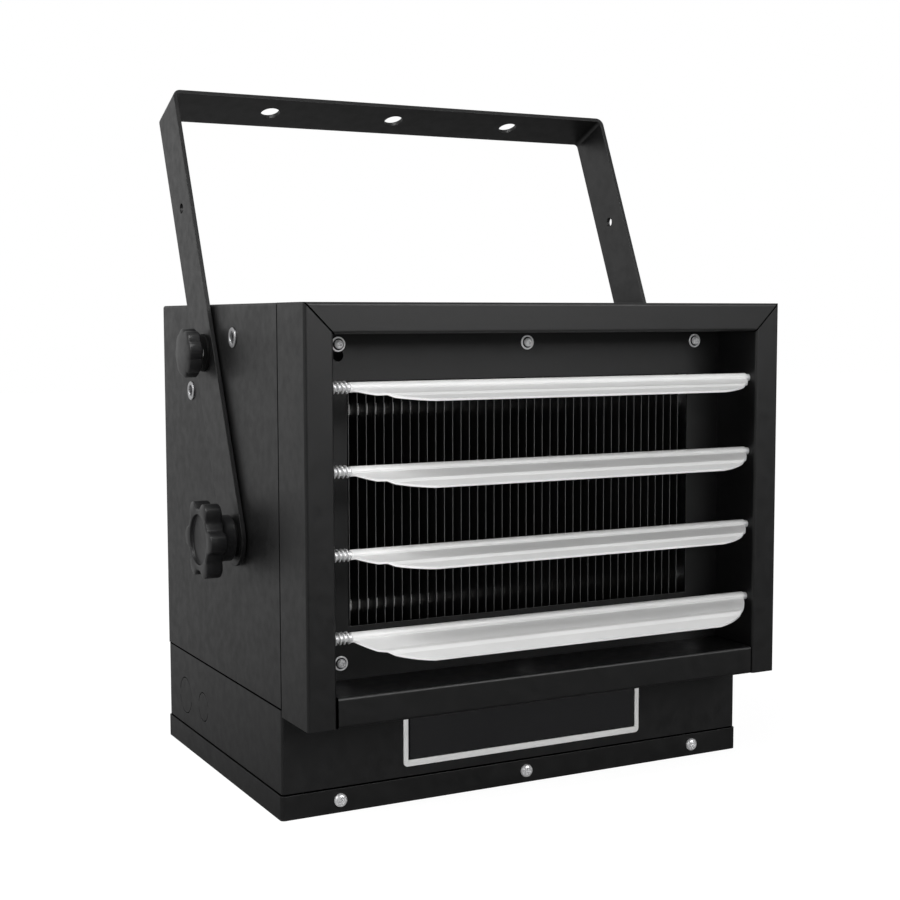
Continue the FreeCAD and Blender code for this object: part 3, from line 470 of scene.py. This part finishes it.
smooth_white = {"grain": (1300.0, 0.05, 0.0002), "cloud": (18.0, 0.03), "edge": (0.0004, 0.5)}
louvre_white = coat("louvre_white", (0.86, 0.86, 0.855), rough=0.34, **smooth_white)
rod_bright = coat("rod_bright", (0.85, 0.85, 0.86), rough=0.4, metal=0.5, grain=(800.0, 0.05, 0.0001))
louvre_numbers = (1, 2, 3, 4)
paint(["louvre_%d" % n for n in louvre_numbers], louvre_white)
paint(["louvre_rod_%d" % n for n in louvre_numbers], rod_bright)

wire_radius = 0.00065
coil_radius = 0.0036
coil_turns = 4
steps_per_turn = 28
wire_sides = 10
spring_low, spring_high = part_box("louvre_springs")
rod_way = Vector((1.0, 0.0, 0.0))


def coiled(axis):
    """A spring of round wire, wound about a rod from the left wall to the blade."""
    first, last = spring_low.x + wire_radius, spring_high.x - wire_radius
    steps = coil_turns * steps_per_turn
    outlines = []
    for step in range(steps + 1):
        turn = 2 * math.pi * coil_turns * step / steps
        out = Vector((0.0, math.cos(turn), math.sin(turn)))
        centre = Vector((first + (last - first) * step / steps, axis.y, axis.z)) + out * coil_radius
        wire = circle(wire_radius, 0.0, wire_sides)
        outlines.append([centre + out * outward + rod_way * sideways for outward, sideways, _ in wire])
    return rings(outlines, Matrix.Identity(4))


coils = gathered(coiled(middle("louvre_rod_%d" % n)) for n in louvre_numbers)
spring_wire = coat("spring_wire", (0.9, 0.9, 0.9), rough=0.3, metal=0.6, grain=(900.0, 0.04, 0.0001))
solid(
    "louvre_spring_coils", *coils, spring_wire, "case", "spring_steel", ["louvre_springs"],
    smooth_deg=60.0,
)


# Hanging bracket: one flat strap bent into a U, drilled for the ceiling bolts.
# Black powder coat like the case, a little glossier on the flat strap.
# It turns on the lower clamp knobs; fibre washers keep the knobs off the paint.

strap_coat = {"grain": (1500.0, 0.12, 0.0003), "edge": (0.0007, 0.2)}
bracket_black = coat("bracket_black", (0.007, 0.007, 0.0072), rough=0.4, **strap_coat)
paint(["bracket"], bracket_black)

fibre_pulp = {"grain": (2500.0, 0.2, 0.0002), "edge": (0.0002, 0.1)}
# The fibre is darker and duller than bare fibre: its own black plus painted shade for the deep shade
# between knob and leg.
fibre = coat("fibre", (0.003, 0.003, 0.003), rough=0.7, **fibre_pulp)
fibre.node_tree.nodes["Principled BSDF"].inputs["Specular IOR Level"].default_value = 0.2
fibre_thick = 0.0015
fibre_section = washer(bore=0.0044, radius=0.0135, thick=fibre_thick, soft=0.0002)
fibre_steps = 48
for label in ("upper_washers", "lower_washers"):
    low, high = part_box(label)
    centre = middle(label)
    fibre_discs = []
    for side, seat in ((-1.0, low.x + fibre_thick), (1.0, high.x - fibre_thick)):
        seat_point = (seat, centre.y, centre.z)
        fibre_discs.append(turned(fibre_section, fibre_steps, seat_point, (side, 0.0, 0.0)))
    solid(label + "_discs", *gathered(fibre_discs), fibre, "bracket", "washer_fibre", [label])


# Threaded inserts: flanged rivet nuts in both sides, at the pivot and at three tilt stops.
# Dull zinc plate; the open ones show a dark bore inside a round flange.
# Each is pulled tight into the wrap, so its flange lies flat on the paint.

insert_bore = 0.0041
barrel_radius = 0.0054
barrel_length = 0.011
flange_radius = 0.007
flange_thick = 0.0012
flange_under = (0.0002, 0.0003)
flange_soft = 0.0004
bore_soft = 0.0005
insert_section = (
    (insert_bore, -barrel_length),
    (barrel_radius, -barrel_length),
    (barrel_radius, 0.0),
    (flange_radius - flange_under[0], 0.0),
    (flange_radius, flange_under[1]),
    (flange_radius, flange_thick - flange_soft),
    (flange_radius - flange_soft, flange_thick),
    (insert_bore + bore_soft, flange_thick),
    (insert_bore, flange_thick - bore_soft),
)
insert_steps = 40
stop_angle = math.radians(21.5)
pivot = middle("lower_washers")
index = middle("upper_washers")
stops = [pivot]
for step in (-1, 0, 1):
    stops.append(pivot + Matrix.Rotation(-step * stop_angle, 3, "X") @ (index - pivot))
nuts = []
for stop in stops:
    for side in (-1.0, 1.0):
        skin_point = (side * wrap_high.x, stop.y, stop.z)
        nuts.append(turned(insert_section, insert_steps, skin_point, (side, 0.0, 0.0)))
insert_zinc = coat("insert_zinc", (0.55, 0.55, 0.56), rough=0.35, metal=0.9, grain=(1200.0, 0.08, 0.0001))
solid("insert_flanges", *gathered(nuts), insert_zinc, "case", "zinc", ["rivet_nuts"])


# Knobs and studs: ridged stop knobs above, six-lobed clamp knobs at the pivot.
# Black moulded nylon with a faint sheen, on bright zinc studs with a cut thread.
# A flared hub spaces each clamp knob's head off the leg; its face has a round recess.

knob_steps = 144
nylon = {"grain": (900.0, 0.08, 0.0002), "edge": (0.0005, 0.3)}
knob_black = coat("knob_black", (0.009, 0.009, 0.0094), rough=0.36, **nylon)


def outlined(reaches, inset, height):
    """A ring round a knob at the given reaches, drawn in by an inset."""
    unit = circle(1.0, height, len(reaches))
    return [((reach - inset) * x, (reach - inset) * y, z) for reach, (x, y, z) in zip(reaches, unit)]


ridges = 8
ridge_radius = 0.0175
groove_depth = 0.0014
ridge_steps = knob_steps // ridges
ridge_half = ridge_steps / 2
ridge_turn = 6
ridge_reaches = []
for i in range(knob_steps):
    from_ridge = abs((i + ridge_turn) % ridge_steps - ridge_half) / ridge_half
    ridge_reaches.append(ridge_radius - groove_depth * from_ridge ** 2)
ridge_profile = ((0.0011, 0.0), (0.0, 0.0011), (0.0, 0.0089), (0.0003, 0.0094), (0.0009, 0.0098))
crown_profile = ((0.0148, 0.0101), (0.0125, 0.0105), (0.009, 0.0108), (0.005, 0.01095), (0.001, 0.011))
stop_rings = [outlined(ridge_reaches, inset, height) for inset, height in ridge_profile]
stop_rings += [circle(radius, height, knob_steps) for radius, height in crown_profile]

lobes = 6
lobe_radius = 0.0285
valley_depth = 0.007
valley_share = 0.25
valley_squareness = 5
lobe_steps = knob_steps // lobes
lobe_reaches = []
for i in range(knob_steps):
    from_valley = 0.5 - abs(i % lobe_steps - lobe_steps / 2) / lobe_steps
    valley = 1.0 / (1.0 + (from_valley / valley_share) ** valley_squareness)
    lobe_reaches.append(lobe_radius - valley_depth * valley)
hub_profile = ((0.0154, 0.0), (0.016, 0.0006), (0.016, 0.0055), (0.0164, 0.0075))
flare_profile = ((0.0174, 0.0093), (0.0188, 0.0104), (0.0206, 0.011))
lobe_back_profile = ((0.0013, 0.0111), (0.0003, 0.0117), (0.0, 0.0127))
lobe_face_profile = ((0.0, 0.0217), (0.0003, 0.0225), (0.0013, 0.023))
recess_profile = ((0.0182, 0.023), (0.0176, 0.0227), (0.0172, 0.0207), (0.0166, 0.0205), (0.0005, 0.0205))
clamp_rings = [circle(radius, height, knob_steps) for radius, height in hub_profile + flare_profile]
clamp_rings += [outlined(lobe_reaches, *level) for level in lobe_back_profile + lobe_face_profile]
clamp_rings += [circle(radius, height, knob_steps) for radius, height in recess_profile]

thread_radius = 0.004
root_radius = 0.0034
thread_pitch = 0.00125
thread_steps = 24


def threaded(length, place):
    """A stud whose ridges follow the thread's pitch."""
    outlines = []
    start = 0.0
    while start < length:
        outlines.append(circle(thread_radius, start, thread_steps))
        outlines.append(circle(root_radius, min(start + thread_pitch / 2, length), thread_steps))
        start += thread_pitch
    return rings(outlines, place)


def inner_point(name, side, centre):
    """The point on a piece's axis where its face toward the case lies."""
    low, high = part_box(name)
    return Vector((high.x if side < 0 else low.x, centre.y, centre.z))


knob_kinds = (("upper", "stop", stop_rings, index), ("lower", "clamp", clamp_rings, pivot))
for label, side in (("left", -1.0), ("right", 1.0)):
    outward = Matrix.Rotation(side * math.pi / 2, 4, "Y")
    for kind, use, outlines, centre in knob_kinds:
        knob = kind + "_knob_" + label
        place = Matrix.Translation(inner_point(knob, side, centre)) @ outward
        solid(use + "_knob_" + label, *rings(outlines, place), knob_black, knob, "knob_plastic", [knob])
        stud = kind + "_stud_" + label
        stud_low, stud_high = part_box(stud)
        place = looking(inner_point(stud, side, centre), (side, 0.0, 0.0))
        thread = threaded(stud_high.x - stud_low.x, place)
        solid(stud + "_thread", *thread, zinc, knob, "zinc", [stud], smooth_deg=20.0)


# Floor: a plain white sheet under the heater that takes a faint, soft shadow.
# Most of what the eye sees of it is its own even glow, so it is white out to its edges.
# In the satin paint the floor shows as a dim painted reflection, a glow a little brighter toward the rear
# left.

floor_half = 6.0
floor_height = -0.0004
floor_signs = ((-1, -1), (1, -1), (1, 1), (-1, 1))
floor_corners = [(x * floor_half, y * floor_half, floor_height) for x, y in floor_signs]
floor_mesh = bpy.data.meshes.new("floor")
floor_mesh.from_pydata(floor_corners, [], [(0, 1, 2, 3)])
floor = bpy.data.objects.new("floor", floor_mesh)
bpy.context.scene.collection.objects.link(floor)

floor_paint = bpy.data.materials.new("floor_paint")
floor_paint.use_nodes = True
floor_tree = floor_paint.node_tree
floor_shader = floor_tree.nodes["Principled BSDF"]
floor_shader.inputs["Base Color"].default_value = (0.9, 0.9, 0.9, 1.0)
floor_shader.inputs["Roughness"].default_value = 0.9
floor_shader.inputs["Specular IOR Level"].default_value = 0.0
floor_rays = floor_tree.nodes.new("ShaderNodeLightPath")


def shown(ray, share, usual, special):
    """One surface for most rays and, by a share, another for one kind of ray."""
    mix = floor_tree.nodes.new("ShaderNodeMixShader")
    floor_tree.links.new(worked(floor_tree, "MULTIPLY", floor_rays.outputs[ray], share), mix.inputs[0])
    floor_tree.links.new(usual, mix.inputs[1])
    floor_tree.links.new(special, mix.inputs[2])
    return mix.outputs[0]


glow_share = 0.8
mirror_share = 0.95
bright_glow = floor_tree.nodes.new("ShaderNodeEmission")
bright_glow.inputs["Strength"].default_value = 1.18
# In reflections the floor shows a dim glow of painted reflection, brighter toward the rear left.
dim_glow = floor_tree.nodes.new("ShaderNodeEmission")
floor_spot = floor_tree.nodes.new("ShaderNodeTexCoord")
rear_left = along(floor_tree, floor_spot.outputs["Object"], (-0.6, 0.8, 0.0))
mirrored_glow = ramp(floor_tree, rear_left, (-0.1, 0.7), (0.06, 0.4))
floor_tree.links.new(mirrored_glow, dim_glow.inputs["Strength"])
seen_floor = shown("Is Camera Ray", glow_share, floor_shader.outputs[0], bright_glow.outputs[0])
mirrored_floor = shown("Is Glossy Ray", mirror_share, seen_floor, dim_glow.outputs[0])
floor_tree.links.new(mirrored_floor, floor_tree.nodes["Material Output"].inputs["Surface"])
floor_mesh.materials.append(floor_paint)


# Light: white surroundings and five soft, square lamps round the heater.
# Paint mirrors a sky that is bright toward the upper rear left and dim on the other side.
# The front lamp shows only in the sheen of a surface, and the fill only in its matt tone.

seen_sky = 1.0
ambient_sky = 0.35
world = bpy.data.worlds.new("studio")
bpy.context.scene.world = world
world.use_nodes = True
sky_tree = world.node_tree
sky = sky_tree.nodes["Background"]
sky.inputs["Color"].default_value = (1.0, 1.0, 1.0, 1.0)
sky_rays = sky_tree.nodes.new("ShaderNodeLightPath")
sky_place = sky_tree.nodes.new("ShaderNodeTexCoord")
upper_rear_left = along(sky_tree, sky_place.outputs["Generated"], (-0.55, 0.55, 0.63))
mirrored_sky = ramp(sky_tree, upper_rear_left, (-0.6, 0.9), (0.12, 0.5))


def chosen(ray, usual, special):
    """One strength for most rays, another for one kind of ray."""
    pick = sky_tree.nodes.new("ShaderNodeMix")
    sky_tree.links.new(sky_rays.outputs[ray], pick.inputs[0])
    for socket, strength in ((pick.inputs[2], usual), (pick.inputs[3], special)):
        if isinstance(strength, float):
            socket.default_value = strength
        else:
            sky_tree.links.new(strength, socket)
    return pick.outputs[0]


unseen_sky = chosen("Is Glossy Ray", ambient_sky, mirrored_sky)
sky_tree.links.new(chosen("Is Camera Ray", unseen_sky, seen_sky), sky.inputs["Strength"])

for name, place, target, size, power in (
    ("key", (-2.0, -0.9, 1.5), (0.0, 0.0, 0.2), 1.4, 17.5),
    ("top", (-0.9, -0.95, 2.4), (0.0, -0.1, 0.2), 0.7, 18.5),
    ("fill", (-0.7, -2.6, 0.4), (0.0, -0.1, 0.2), 0.6, 15.0),
    ("front", (0.9, -2.1, 1.2), (0.0, -0.1, 0.25), 1.2, 29.0),
    ("rear_left", (-1.1, 2.2, 0.8), (-0.15, 0.0, 0.2), 1.3, 1.2),
):
    lamp = bpy.data.lights.new(name, "AREA")
    lamp.size = size
    lamp.energy = power
    light = bpy.data.objects.new(name, lamp)
    light.location = place
    light.visible_diffuse = name != "front"
    light.visible_glossy = name != "fill"
    light.rotation_euler = (Vector(target) - Vector(place)).to_track_quat("-Z", "Y").to_euler()
    bpy.context.scene.collection.objects.link(light)


# Camera: a long lens to the left of the heater's front, a little above its middle.
# Its place and turn follow from the case's straight edges as photographed.

image_pixels = 900.0
focal_pixels = 1533.72
stand = Vector((-0.54213, -1.04662, 0.32909))
yaw = math.radians(27.527)
pitch = math.radians(4.872)
roll = math.radians(0.142)
ahead = Vector((math.sin(yaw) * math.cos(pitch), math.cos(yaw) * math.cos(pitch), -math.sin(pitch)))
level = Vector((math.cos(yaw), -math.sin(yaw), 0.0))
right = level * math.cos(roll) + ahead.cross(level) * math.sin(roll)
down = ahead.cross(right)
lens = bpy.data.cameras.new("camera")
lens.sensor_width = 36.0
lens.lens = lens.sensor_width * focal_pixels / image_pixels
camera = bpy.data.objects.new("camera", lens)
turn = Matrix((right, -down, -ahead)).transposed().to_4x4()
camera.matrix_world = Matrix.Translation(stand) @ turn
bpy.context.scene.collection.objects.link(camera)
bpy.context.scene.camera = camera
bpy.context.scene.view_settings.view_transform = "Standard"
